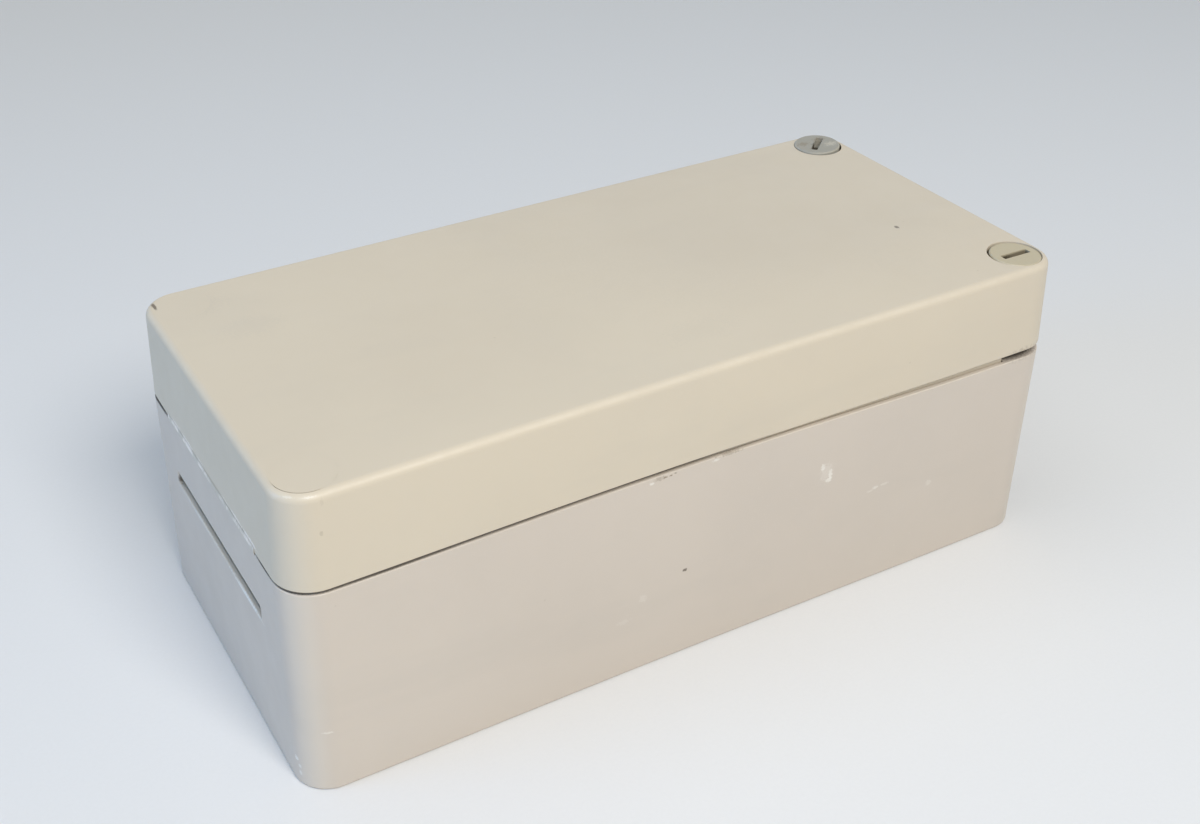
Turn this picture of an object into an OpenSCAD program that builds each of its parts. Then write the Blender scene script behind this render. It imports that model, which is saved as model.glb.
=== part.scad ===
// Moulded enclosure for electrical equipment, with a lid that swings on a film hinge at its left end
// and is held by two quarter-turn screws at its right end. Sizes are in millimetres and angles in degrees.
// +Z is up, +X points at the screws, +Y points at the back, and the origin is the middle of the underside.

/* [Box] */
// Length of the box at the seam
box_l = 250; // [210:1:320]
// Width of the box at the seam
box_w = 116.6; // [105:0.2:180]
// Height of the seam above the underside
base_h = 66.1; // [56:0.1:110]
// Height of the lid above the seam
lid_h = 27.9; // [25:0.1:45]
// Radius of the vertical corners at the seam
corner_r = 10.8; // [10.4:0.1:13]
// Thickness of the side walls
wall_t = 3.6; // [3.3:0.1:4.5]
// Thickness of the base's floor
floor_t = 3.5; // [2.5:0.1:6]
// Thickness of the lid's top
top_t = 3.2; // [2.5:0.1:5]
// Slope of the base's walls, which narrow downwards
base_draft = 0.6; // [0:0.1:1.2]
// Slope of the lid's walls, which narrow upwards
lid_draft = 1.6; // [0:0.1:2.4]
// Radius of the lid's top edge
lid_edge_r = 2.3; // [1:0.1:2.8]
// Radius of the two edges that face each other at the seam
seam_edge_r = 0.5; // [0.2:0.1:0.8]
// Radius of the base's bottom edge
foot_edge_r = 0.9; // [0.3:0.1:1.5]
// Radius inside, where the walls meet the floor and the lid's top
inner_edge_r = 2; // [0.5:0.1:3]

/* [Seam] */
// Gap between the base's rim and the lid's rim at the hinge
seam_gap = 0.5; // [0.3:0.1:0.8]
// Angle by which the aged gasket holds the lid open
lid_ajar = 0.45; // [0:0.05:0.6]
// Height of the lip that reaches from the lid down into the base
lip_h = 3; // [2:0.1:4]
// Thickness of the lip
lip_t = 2; // [1.5:0.1:2.2]
// Clearance between the lip and the base's rim
lip_clear = 0.4; // [0.3:0.05:0.6]
// Thickness of the gasket
gasket_t = 1.6; // [1:0.1:2.5]
// Width of the gasket
gasket_w = 1.8; // [1:0.1:2]
// Distance from the gasket to the cavity
gasket_inset = 0.3; // [0.1:0.1:0.3]
// Clearance between the gasket and the lip at the hinge
gasket_clear = 0.1; // [0.05:0.05:0.3]

/* [Lid screws] */
// Diameter of a screw's head
head_d = 15.6; // [13:0.1:16]
// Height of a screw's head
head_h = 4; // [3:0.1:5]
// Gap round a screw's head
head_gap = 0.35; // [0.2:0.05:0.5]
// Clearance under a screw's head
seat_gap = 0.2; // [0.1:0.05:0.3]
// Thickness of the web that carries a screw's head
seat_t = 3; // [2:0.1:4]
// Chamfer of a screw's head
head_chamfer = 0.4; // [0.2:0.1:0.8]
// Length of the driver slot
slot_l = 10.2; // [8:0.1:12]
// Width of the driver slot
slot_w = 2.3; // [1.5:0.1:3]
// Depth of the driver slot
slot_depth = 2; // [1:0.1:2.5]
// Diameter of a screw's shank
shank_d = 7; // [5.5:0.1:7.5]
// Clearance round the shank in its guide and between the claws
shank_clear = 0.4; // [0.3:0.05:0.6]
// Length of the tip below the cross pin
tip_l = 1.8; // [1:0.1:3]
// Angle of the front screw's slot from the box's length
front_turn = 0; // [-85:1:40]
// Angle of the rear screw's slot from the box's length
rear_turn = 40; // [-85:1:40]

/* [Cross pins and clips] */
// Diameter of the pin across a screw's shank
pin_d = 3; // [2.5:0.1:3.2]
// Length of the pin across a screw's shank
pin_l = 10.8; // [10:0.1:11.6]
// Radial clearance of the pin in the shank
pin_fit = 0.02; // [0.01:0.01:0.05]
// Outer diameter of the clip that keeps a screw in the lid
clip_d = 11; // [10:0.1:13]
// Thickness of the clip
clip_t = 1; // [0.6:0.1:1.4]
// Depth of the clip's groove in the shank
clip_groove = 0.6; // [0.3:0.1:0.9]
// Clearance of the clip in its groove and under the web
clip_clear = 0.15; // [0.05:0.05:0.3]
// Angle that is open in the clip's ring
clip_mouth = 70; // [40:5:110]

/* [Bayonet sockets] */
// Clearance between the pin's ends and the socket
socket_clear = 0.4; // [0.3:0.1:0.6]
// Wall of the socket's ring
socket_wall = 1.4; // [1:0.1:1.6]
// Depth of the socket's top below the base's rim
socket_sunk = 0.9; // [0.5:0.1:2]
// Radial fit of the socket in its column
socket_fit = 0.03; // [0.01:0.01:0.05]
// Thickness of the claws that hold the pin down
claw_t = 2.6; // [2:0.1:4]
// Angle that each claw spans
claw_span = 24; // [16:1:26]
// Angle that each stop spans
stop_span = 8; // [5:1:9]
// Angle from the claw's middle to the stop's middle
stop_offset = 24; // [23:0.5:25]
// How far each stop reaches into the socket's bore
stop_reach = 1; // [0.6:0.1:1.1]
// Clearance between the pin and the claws, and below the pin
pin_gap = 0.6; // [0.4:0.1:1]

/* [Corner columns] */
// Wall of a column between its socket and the base's rebate
column_wall = 1.1; // [0.8:0.1:1.4]
// Diameter of the wall-fixing holes
fixing_d = 4.5; // [3.5:0.1:5.5]
// Diameter of the channel that takes a fixing screw's head
fixing_head_d = 8.4; // [7:0.1:9]
// Thickness of the floor under a fixing screw's head
fixing_floor = 6; // [4:0.5:12]
// Clearance round a screw's cross pin in the lid's wells
well_clear = 1.6; // [0.8:0.1:2]

/* [Corner caps] */
// Gap round a cap in its bore
cap_gap = 0.15; // [0.1:0.05:0.3]
// Thickness of a cap's top
cap_t = 1.8; // [1.2:0.1:2.6]
// Wall of a cap's skirt
cap_wall = 1.4; // [1:0.1:2]
// Length of a cap's snap end below the web
cap_snap = 2; // [1:0.1:3]
// How far a cap's snap end reaches over the web
cap_bead = 0.5; // [0.3:0.1:0.8]

/* [Hinge strap] */
// Width of the strap
hinge_w = 71; // [50:1:74]
// Thickness of the strap's two leaves
strap_t = 1.2; // [0.8:0.1:1.6]
// Clearance of the leaves in their pockets
strap_clear = 0.2; // [0.1:0.05:0.3]
// Thickness of the wall in front of the leaves
strap_skin = 1.6; // [1.2:0.1:2]
// Thickness of the wall behind the leaves
strap_back = 1.2; // [1:0.1:2]
// Thickness of the strap where it crosses the rims
web_t = 0.4; // [0.3:0.05:0.6]
// Clearance between the strap and the rims it crosses
web_clear = 0.05; // [0.03:0.01:0.1]
// Thickness of the film that bends
film_t = 0.4; // [0.25:0.05:0.6]
// Length of the lid's leaf above the hinge
lid_leaf_l = 18; // [14:0.5:20]
// Height of the end slot that the base's leaf snaps into
end_slot_z = 45.8; // [30:0.1:52]
// Length of the end slot
end_slot_l = 69; // [40:0.5:69]
// Height of the end slot's opening
end_slot_h = 4.4; // [2.4:0.1:5]
// Radius of the end slot's corners
end_slot_r = 0.9; // [0.3:0.1:1.1]
// How far the leaf goes on past the end slot
leaf_foot = 2.4; // [1.5:0.1:5]
// How far a leaf's barb reaches out of it
barb_l = 1.2; // [0.6:0.1:1.3]
// Distance from a barb's ends to the ends of its slot
barb_end = 1.4; // [1.1:0.1:4]

/* [Mounting plate] */
// Gap from the plate to the corner columns
plate_gap_x = 5.5; // [2:0.5:20]
// Gap from the plate to the long walls
plate_gap_y = 4.6; // [2:0.2:15]
// Thickness of the plate
plate_t = 1.5; // [1:0.1:3]
// Radius of the plate's corners
plate_r = 4; // [1:0.5:8]
// Distance of the plate's screws from its edges
plate_inset = 9; // [7:0.5:20]
// Height of the bosses under the plate
boss_h = 8; // [5:0.5:20]
// Diameter of the bosses
boss_d = 9; // [7:0.5:12]
// Diameter of the plate's screws
plate_screw_d = 3.9; // [3:0.1:5]
// Length of the plate's screws below their heads
plate_screw_l = 9; // [6:0.5:10]
// Diameter of the heads of the plate's screws
plate_head_d = 7.4; // [6:0.1:9]
// Height of the heads of the plate's screws
plate_head_h = 2.5; // [1.5:0.1:3.5]
// Radial clearance of the plate's screws in the bosses
plate_screw_fit = 0.05; // [0.02:0.01:0.1]
// Radial clearance of the plate's screws in the plate
plate_hole_clear = 0.3; // [0.2:0.05:0.6]

/* [Hidden] */
$fn = 64;

// Steps in the outline of a rounded edge
edge_steps = 6;
fine_steps = 3;
// How far a cut runs on past the face that it opens
past = 1;

body_color = [0.82, 0.78, 0.7];
screw_color = [0.7, 0.67, 0.61];
gasket_color = [0.2, 0.2, 0.2];
strap_color = [0.86, 0.84, 0.79];
steel_color = [0.72, 0.73, 0.74];
brass_color = [0.78, 0.64, 0.34];

// Levels at the seam and at the lid's top
base_rim = base_h - seam_gap / 2;
lid_rim = base_h + seam_gap / 2;
lid_top = base_h + lid_h;
seat_z = lid_top - head_h - seat_gap;
web_z = seat_z - seat_t;

// Half sizes of the box, of its corner centres and of its cavity at the seam
half_l = box_l / 2;
half_w = box_w / 2;
centre_x = half_l - corner_r;
centre_y = half_w - corner_r;
cavity_x = half_l - wall_t;
cavity_y = half_w - wall_t;

// Lip, rebate and gasket
rebate_w = lip_t + lip_clear;
lip_end = lid_rim - lip_h;
gasket_top = lip_end - gasket_clear;
shoulder_z = gasket_top - gasket_t;

// Screws, pins and sockets
head_bore_r = head_d / 2 + head_gap;
shank_r = shank_d / 2;
guide_r = shank_r + shank_clear;
socket_bore_r = pin_l / 2 + socket_clear;
socket_r = socket_bore_r + socket_wall;
socket_top = base_rim - socket_sunk;
claw_z = socket_top - claw_t;
lid_lift = (centre_x + half_l) * sin(lid_ajar);
pin_z = claw_z - pin_gap - pin_d / 2 - lid_lift;
tip_z = pin_z - pin_d / 2 - tip_l;
socket_foot = claw_z - 2 * pin_gap - pin_d;
clip_z = web_z - clip_clear - clip_t;
column_r = socket_r + column_wall + rebate_w;
well_r = pin_l / 2 + well_clear;

// Hinge strap, its pockets and the thicker end walls behind them
leaf_out = strap_skin + strap_clear;
pocket_t = strap_t + 2 * strap_clear;
pocket_w = hinge_w + 2 * strap_clear;
bump = strap_skin + pocket_t + strap_back + rebate_w - wall_t;
bump_y = pocket_w / 2 + strap_back + rebate_w;
base_leaf_l = base_h - end_slot_z + end_slot_h / 2 + leaf_foot;
lid_slot_z = base_h + lid_leaf_l - leaf_foot - end_slot_h / 2;

// Mounting plate
plate_x = centre_x - column_r - plate_gap_x;
plate_y = cavity_y - plate_gap_y;
plate_z = floor_t + boss_h;
boss_x = plate_x - plate_inset;
boss_y = plate_y - plate_inset;

// Points on an arc, from angle a0 to angle a1
function arc(centre, r, a0, a1, steps) =
  [for (i = [0:steps]) let (a = a0 + (a1 - a0) * i / steps) centre + r * [cos(a), sin(a)]];

// Distance of the outer walls from the corner centres at height z
function base_wall(z) = corner_r - tan(base_draft) * (base_rim - z);
function lid_wall(z) = corner_r - tan(lid_draft) * (z - lid_rim);

// Outlines of the shells as [distance from the corner centre, height], from bottom to top
function base_outer_line() = let (z = base_rim - seam_edge_r) concat(
  arc([base_wall(foot_edge_r) - foot_edge_r, foot_edge_r], foot_edge_r, -90, 0, fine_steps),
  arc([base_wall(z) - seam_edge_r, z], seam_edge_r, 0, 90, fine_steps)
);
function base_inner_line() = concat(
  arc(
    [base_wall(floor_t + inner_edge_r) - wall_t - inner_edge_r, floor_t + inner_edge_r],
    inner_edge_r, -90, 0, edge_steps
  ),
  [[base_wall(base_rim + past) - wall_t, base_rim + past]]
);
function lid_outer_line() = let (z0 = lid_rim + seam_edge_r, z1 = lid_top - lid_edge_r) concat(
  arc([lid_wall(z0) - seam_edge_r, z0], seam_edge_r, -90, 0, fine_steps),
  arc([lid_wall(z1) - lid_edge_r, z1], lid_edge_r, 0, 90, edge_steps)
);
function lid_inner_line() = let (z = lid_top - top_t - inner_edge_r) concat(
  [[lid_wall(lid_rim - past) - wall_t, lid_rim - past]],
  arc([lid_wall(z) - wall_t - inner_edge_r, z], inner_edge_r, 0, 90, edge_steps)
);

// The lid's pieces are drawn closed and then swung open about the hinge to where the gasket holds them
module lid_pose() {
  translate([-half_l, 0, base_h])
    rotate([0, -lid_ajar, 0])
      translate([half_l, 0, -base_h])
        children();
}

// Draws its children at a corner centre, mirrored so that +X and +Y there point out of the box
module at_corner(side_x, side_y) {
  translate([side_x * centre_x, side_y * centre_y, 0])
    mirror([side_x < 0 ? 1 : 0, 0, 0])
      mirror([0, side_y < 0 ? 1 : 0, 0])
        children();
}

module at_corners() {
  for (side_x = [-1, 1])
    for (side_y = [-1, 1])
      at_corner(side_x, side_y) children();
}

// Half of the section through a shell, and the whole section out to both walls
module half_section(line) {
  polygon(concat([[0, line[0][1]]], line, [[0, line[len(line) - 1][1]]]));
}

module whole_section(line, centre) {
  outline = [for (p = line) [centre + p[0], p[1]]];
  mirrored = [for (i = [len(line) - 1:-1:0]) [-outline[i][0], outline[i][1]]];
  polygon(concat(outline, mirrored));
}

// Solid with rounded vertical corners whose walls and edges follow an outline
module moulded_block(line) {
  at_corners()
    rotate_extrude(angle = 90)
      half_section(line);
  rotate([90, 0, 90])
    linear_extrude(2 * centre_x, center = true)
      whole_section(line, centre_y);
  rotate([90, 0, 0])
    linear_extrude(2 * centre_y, center = true)
      whole_section(line, centre_x);
}

// Plan of one corner column of radius r, which runs on into the two walls beside it
module column_plan(r) {
  circle(r);
  translate([-r, 0])
    square([r + corner_r, corner_r]);
  translate([0, -r])
    square([corner_r, r + corner_r]);
}

module corner_columns(z0, z1) {
  at_corners()
    translate([0, 0, z0])
      linear_extrude(z1 - z0)
        column_plan(column_r);
}

// The end wall is thicker behind the hinge
module hinge_bump(z0, z1) {
  translate([-half_l, -bump_y, z0])
    cube([wall_t + bump, 2 * bump_y, z1 - z0]);
}

// Plan of the cavity at the seam, grown by g into the walls, the columns and the thicker end wall
module seal_plan(g) {
  difference() {
    square([2 * (cavity_x + g), 2 * (cavity_y + g)], center = true);
    for (side_x = [-1, 1])
      for (side_y = [-1, 1])
        translate([side_x * centre_x, side_y * centre_y])
          mirror([side_x < 0 ? 1 : 0, 0])
            mirror([0, side_y < 0 ? 1 : 0])
              column_plan(column_r - g);
    translate([-half_l, g - bump_y])
      square([wall_t + bump - g, 2 * (bump_y - g)]);
  }
}

module seal_band(inner, outer, z0, z1) {
  translate([0, 0, z0])
    linear_extrude(z1 - z0)
      difference() {
        seal_plan(outer);
        seal_plan(inner);
      }
}

module at_bosses() {
  for (side_x = [-1, 1])
    for (side_y = [-1, 1])
      translate([side_x * boss_x, side_y * boss_y, 0])
        children();
}

// Plan of a rectangle with rounded corners
module rounded_plan(half_x, half_y, r) {
  square([2 * half_x, 2 * (half_y - r)], center = true);
  square([2 * (half_x - r), 2 * half_y], center = true);
  for (side_x = [-1, 1])
    for (side_y = [-1, 1])
      translate([side_x * (half_x - r), side_y * (half_y - r)])
        circle(r);
}

// Slot for a leaf's barb, cut along +X
module end_slot(depth) {
  rotate([90, 0, 90])
    linear_extrude(depth)
      rounded_plan(end_slot_l / 2, end_slot_h / 2, end_slot_r);
}

// Pockets for the strap's leaves, with the rim in front of them lowered to let the strap across
module base_strap_pocket() {
  depth = base_leaf_l + strap_clear;
  translate([-half_l + strap_skin, -pocket_w / 2, base_h - depth])
    cube([pocket_t, pocket_w, depth]);
  translate([-half_l - past, -pocket_w / 2, base_rim - web_t - web_clear])
    cube([past + strap_skin + pocket_t, pocket_w, web_t + web_clear + past]);
  translate([-half_l - past, 0, end_slot_z])
    end_slot(past + leaf_out);
}

module lid_strap_pocket() {
  depth = lid_leaf_l + strap_clear;
  translate([-half_l + strap_skin, -pocket_w / 2, base_h])
    cube([pocket_t, pocket_w, depth]);
  translate([-half_l - past, -pocket_w / 2, lid_rim - past])
    cube([past + strap_skin + pocket_t, pocket_w, past + web_t + web_clear]);
  translate([-half_l + leaf_out + strap_t, 0, lid_slot_z])
    end_slot(strap_clear + strap_back + rebate_w + past);
}

module base_cavity() {
  difference() {
    moulded_block(base_inner_line());
    corner_columns(0, base_rim + 2 * past);
    hinge_bump(0, base_rim + 2 * past);
    at_bosses() cylinder(d = boss_d, h = plate_z);
  }
}

module lid_cavity() {
  difference() {
    moulded_block(lid_inner_line());
    corner_columns(lid_rim - 2 * past, lid_top);
    hinge_bump(lid_rim - 2 * past, lid_top);
  }
}

module fixing_hole() {
  translate([0, 0, -past])
    cylinder(d = fixing_d, h = fixing_floor + 2 * past);
  translate([0, 0, fixing_floor])
    cylinder(d = fixing_head_d, h = base_h);
}

module base() {
  color(body_color)
    difference() {
      moulded_block(base_outer_line());
      base_cavity();
      translate([0, 0, shoulder_z])
        linear_extrude(base_h - shoulder_z)
          seal_plan(rebate_w);
      at_corners() fixing_hole();
      for (side_y = [-1, 1])
        at_corner(1, side_y)
          translate([0, 0, socket_foot])
            cylinder(r = socket_r + socket_fit, h = base_h - socket_foot);
      at_bosses()
        translate([0, 0, floor_t])
          cylinder(d = plate_screw_d + 2 * plate_screw_fit, h = boss_h + past);
      base_strap_pocket();
    }
}

// Bore for a screw or a cap: a seat for the head, a guide through the web and a well below it
module screw_bore() {
  translate([0, 0, seat_z])
    cylinder(r = head_bore_r, h = lid_top - seat_z + past);
  translate([0, 0, web_z - past])
    cylinder(r = guide_r, h = seat_t + 2 * past);
  translate([0, 0, lid_rim - past])
    cylinder(r = well_r, h = web_z - lid_rim + past);
}

module lid() {
  color(body_color)
    lid_pose()
      difference() {
        union() {
          difference() {
            moulded_block(lid_outer_line());
            lid_cavity();
          }
          seal_band(0, lip_t, lip_end, lid_rim + past);
        }
        at_corners() screw_bore();
        lid_strap_pocket();
      }
}

module lid_gasket() {
  color(gasket_color)
    seal_band(gasket_inset, gasket_inset + gasket_w, shoulder_z, gasket_top);
}

// Half of the strap's section, with the film on the hinge axis and the leaf pointing up
module strap_section(leaf_l) {
  translate([-film_t / 2, -film_t / 2])
    square([film_t, film_t / 2 + seam_gap / 2 + web_t]);
  translate([-film_t / 2, seam_gap / 2])
    square([film_t / 2 + leaf_out + strap_t, web_t]);
  translate([leaf_out, seam_gap / 2])
    square([strap_t, leaf_l - seam_gap / 2]);
}

// A barb's section: square towards the hinge and sloped away from it
module barb_section() {
  low = strap_clear - end_slot_h / 2;
  polygon([[0, low], [barb_l, low], [0, end_slot_h / 2]]);
}

module along_hinge(width) {
  rotate([90, 0, 0])
    linear_extrude(width, center = true)
      children();
}

module hinge_strap() {
  barb_w = end_slot_l - 2 * barb_end;
  color(strap_color)
    translate([-half_l, 0, base_h]) {
      mirror([0, 0, 1]) {
        along_hinge(hinge_w) strap_section(base_leaf_l);
        along_hinge(barb_w)
          translate([leaf_out, base_h - end_slot_z])
            mirror([1, 0]) barb_section();
      }
      rotate([0, -lid_ajar, 0]) {
        along_hinge(hinge_w) strap_section(lid_leaf_l);
        along_hinge(barb_w)
          translate([leaf_out + strap_t, lid_slot_z - base_h])
            barb_section();
      }
    }
}

module at_lid_screw(side_y, turn) {
  lid_pose()
    translate([centre_x, side_y * centre_y, 0])
      rotate(turn)
        children();
}

module cross_pin(grow) {
  translate([0, 0, pin_z])
    rotate([0, 90, 0])
      cylinder(r = pin_d / 2 + grow, h = pin_l, center = true);
}

module clip_ring(inner_r, outer_r, span, grow) {
  translate([0, 0, clip_z - grow])
    rotate(90 - span / 2)
      rotate_extrude(angle = span)
        translate([inner_r, 0])
          square([outer_r - inner_r, clip_t + 2 * grow]);
}

module lid_screw() {
  head_z = lid_top - head_h;
  difference() {
    union() {
      translate([0, 0, head_z])
        cylinder(d = head_d, h = head_h - head_chamfer);
      translate([0, 0, lid_top - head_chamfer])
        cylinder(d1 = head_d, d2 = head_d - 2 * head_chamfer, h = head_chamfer);
      translate([0, 0, tip_z + tip_l / 2])
        cylinder(r = shank_r, h = head_z - tip_z - tip_l / 2);
      translate([0, 0, tip_z])
        cylinder(r1 = shank_r - tip_l / 2, r2 = shank_r, h = tip_l / 2);
    }
    translate([-slot_l / 2, -slot_w / 2, lid_top - slot_depth])
      cube([slot_l, slot_w, slot_depth + past]);
    clip_ring(shank_r - clip_groove, shank_r + past, 360, clip_clear);
    cross_pin(pin_fit);
  }
}

module screw_clip() {
  clip_ring(shank_r - clip_groove + clip_clear, clip_d / 2, 360 - clip_mouth, 0);
}

module front_lid_screw() {
  color(screw_color) at_lid_screw(-1, front_turn) lid_screw();
}

module rear_lid_screw() {
  color(screw_color) at_lid_screw(1, rear_turn) lid_screw();
}

module front_cross_pin() {
  color(steel_color) at_lid_screw(-1, front_turn) cross_pin(0);
}

module rear_cross_pin() {
  color(steel_color) at_lid_screw(1, rear_turn) cross_pin(0);
}

module front_screw_clip() {
  color(steel_color) at_lid_screw(-1, front_turn) screw_clip();
}

module rear_screw_clip() {
  color(steel_color) at_lid_screw(1, rear_turn) screw_clip();
}

// A tooth that reaches from the socket's ring in to radius r, centred on an angle
module socket_tooth(r, angle, span, z0) {
  rotate(angle - span / 2)
    rotate_extrude(angle = span)
      translate([r, z0])
        square([socket_r - socket_wall / 2 - r, socket_top - z0]);
}

// Ring with two claws, which the cross pin turns under, and two stops, which end its turn both ways
module bayonet_socket(side_y) {
  translate([centre_x, side_y * centre_y, 0]) {
    difference() {
      translate([0, 0, socket_foot])
        cylinder(r = socket_r, h = socket_top - socket_foot);
      translate([0, 0, socket_foot - past])
        cylinder(r = socket_bore_r, h = socket_top - socket_foot + 2 * past);
    }
    for (half_turn = [0, 180]) {
      socket_tooth(guide_r, 90 + half_turn, claw_span, claw_z);
      socket_tooth(socket_bore_r - stop_reach, 90 - stop_offset + half_turn, stop_span, socket_foot);
    }
  }
}

module front_bayonet_socket() {
  color(brass_color) bayonet_socket(-1);
}

module rear_bayonet_socket() {
  color(brass_color) bayonet_socket(1);
}

// Blanking cap: a flush top, a skirt down to the seat and a stem that snaps through the web
module corner_cap(side_y) {
  cap_r = head_bore_r - cap_gap;
  stem_r = guide_r - cap_gap;
  lid_pose()
    translate([-centre_x, side_y * centre_y, 0]) {
      difference() {
        translate([0, 0, seat_z])
          cylinder(r = cap_r, h = lid_top - seat_z);
        translate([0, 0, seat_z - past])
          cylinder(r = cap_r - cap_wall, h = lid_top - seat_z - cap_t + past);
      }
      translate([0, 0, web_z - clip_clear])
        cylinder(r = stem_r, h = lid_top - cap_t / 2 - web_z + clip_clear);
      translate([0, 0, web_z - clip_clear - cap_snap])
        cylinder(r1 = stem_r - cap_bead, r2 = stem_r + cap_bead, h = cap_snap);
    }
}

module front_corner_cap() {
  color(body_color) corner_cap(-1);
}

module rear_corner_cap() {
  color(body_color) corner_cap(1);
}

module mounting_plate() {
  color(steel_color)
    translate([0, 0, plate_z])
      difference() {
        linear_extrude(plate_t)
          rounded_plan(plate_x, plate_y, plate_r);
        at_bosses()
          translate([0, 0, -past])
            cylinder(r = plate_screw_d / 2 + plate_hole_clear, h = plate_t + 2 * past);
      }
}

module plate_screws() {
  head_z = plate_z + plate_t;
  color(steel_color)
    at_bosses() {
      translate([0, 0, head_z])
        cylinder(d = plate_head_d, h = plate_head_h);
      translate([0, 0, head_z - plate_screw_l])
        cylinder(d = plate_screw_d, h = plate_screw_l + plate_head_h / 2);
    }
}

base();
lid();
lid_gasket();
hinge_strap();
front_lid_screw();
rear_lid_screw();
front_cross_pin();
rear_cross_pin();
front_screw_clip();
rear_screw_clip();
front_bayonet_socket();
rear_bayonet_socket();
front_corner_cap();
rear_corner_cap();
mounting_plate();
plate_screws();
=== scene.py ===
"""Looks of a moulded electrical enclosure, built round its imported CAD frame."""

import math

import bpy
from mathutils import Matrix, Vector


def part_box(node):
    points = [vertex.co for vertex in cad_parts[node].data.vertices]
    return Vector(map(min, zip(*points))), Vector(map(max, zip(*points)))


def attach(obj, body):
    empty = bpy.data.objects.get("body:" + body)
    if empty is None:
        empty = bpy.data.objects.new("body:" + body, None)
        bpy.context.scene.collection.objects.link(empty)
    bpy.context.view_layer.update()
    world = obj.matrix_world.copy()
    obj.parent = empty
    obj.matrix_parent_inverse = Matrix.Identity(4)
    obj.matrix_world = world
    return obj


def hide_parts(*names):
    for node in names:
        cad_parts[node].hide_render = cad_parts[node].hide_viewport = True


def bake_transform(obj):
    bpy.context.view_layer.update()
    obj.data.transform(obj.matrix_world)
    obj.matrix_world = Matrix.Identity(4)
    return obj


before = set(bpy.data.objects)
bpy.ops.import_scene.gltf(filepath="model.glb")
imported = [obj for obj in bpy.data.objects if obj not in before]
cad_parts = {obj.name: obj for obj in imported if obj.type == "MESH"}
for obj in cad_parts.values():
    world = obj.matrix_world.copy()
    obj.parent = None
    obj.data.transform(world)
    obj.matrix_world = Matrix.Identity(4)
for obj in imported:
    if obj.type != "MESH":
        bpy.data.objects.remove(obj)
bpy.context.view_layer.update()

bl_info = {
    "name": "Electrical enclosure",
    "version": (1, 0, 0),
    "blender": (4, 5, 0),
    "location": "View3D > Sidebar > Enclosure",
    "description": "Dresses the frame of an enclosure in worn moulded plastic, rubber and metal",
    "category": "Object",
}

MM = 0.001

# Where the shells are divided along the box and in height, so that their walls can sink smoothly
STATIONS = [x * MM for x in range(-98, 99, 14)]
BASE_LEVELS = [z * MM for z in (14, 26, 38, 50, 58)]
LID_LEVELS = [z * MM for z in (73, 80, 87)]

# Where across the box the long walls' sink and the front rims' drop start and are full
SINK_ACROSS = (46 * MM, 53 * MM)
DROP_ACROSS = (40 * MM, 49 * MM)

# How steeply the sink falls off along the box, and the back wall's share of it
SINK_FALL = 1.15
BACK_SINK = 0.1

# Angles above which edges are rounded, and below which shading is smooth and faces are joined
ROUND_ABOVE = math.radians(40)
SMOOTH_BELOW = math.radians(38)
JOIN_BELOW = math.radians(0.4)

# Lengths below which corners merge and faces are slivers
MERGE_BELOW = 2e-6
SLIVER_BELOW = 5e-6

# How a lid screw's head tips, shifts and settles in its bore
HEAD_LEAN = math.radians(1.2)
HEAD_SHIFT = Vector((-0.25, 0.15, 0)) * MM
HEAD_SETTLE = 0.12 * MM

# Half the seam's height at the film, and where along the box the seam's darkening, dirt with
# painted shade in the gap, is lightest and full
SEAM_HALF = 0.25 * MM
SEAM_SHADE_AND_DIRT = (28 * MM, -14 * MM)

# Where a rim's darkening, dirt with painted shade in the seam, starts and is full: out from the
# bores' axes, beside the film and inwards of it
RIM_OUTER = (8.0 * MM, 8.8 * MM)
FILM_BESIDE = (34.0 * MM, 36.0 * MM)
FILM_INWARDS = (-124.0 * MM, -122.5 * MM)

# Lamps of the studio: name, place, diameter, power, colour and spread in degrees
LAMPS = (
    ("key lamp", (-0.05, -0.98, 1.075), 0.65, 13.4, (1.0, 0.955, 0.9), 180),
    ("top lamp", (-0.4, 0.2, 1.45), 1.2, 3.6, (1.0, 0.965, 0.91), 180),
    ("left lamp", (-1.3, 0.25, 0.45), 0.9, 0.78, (0.05, 0.4, 1.0), 60),
)
LAMP_AIM = Vector((0, 0, 0.05))
AMBIENT = (0.86, 0.94, 1.0, 1), 0.38
BACKDROP = (1, 1, 1, 1), 0.9

# The camera, with the photograph's viewing angle and framing
CAMERA_PLACE = (-0.21267, -0.34139, 0.30761)
CAMERA_TURN = (61.6151, 0.1325, -29.0977)
CAMERA_LENS = 46.407
CAMERA_SHIFT = (0.05, -0.1)

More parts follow.
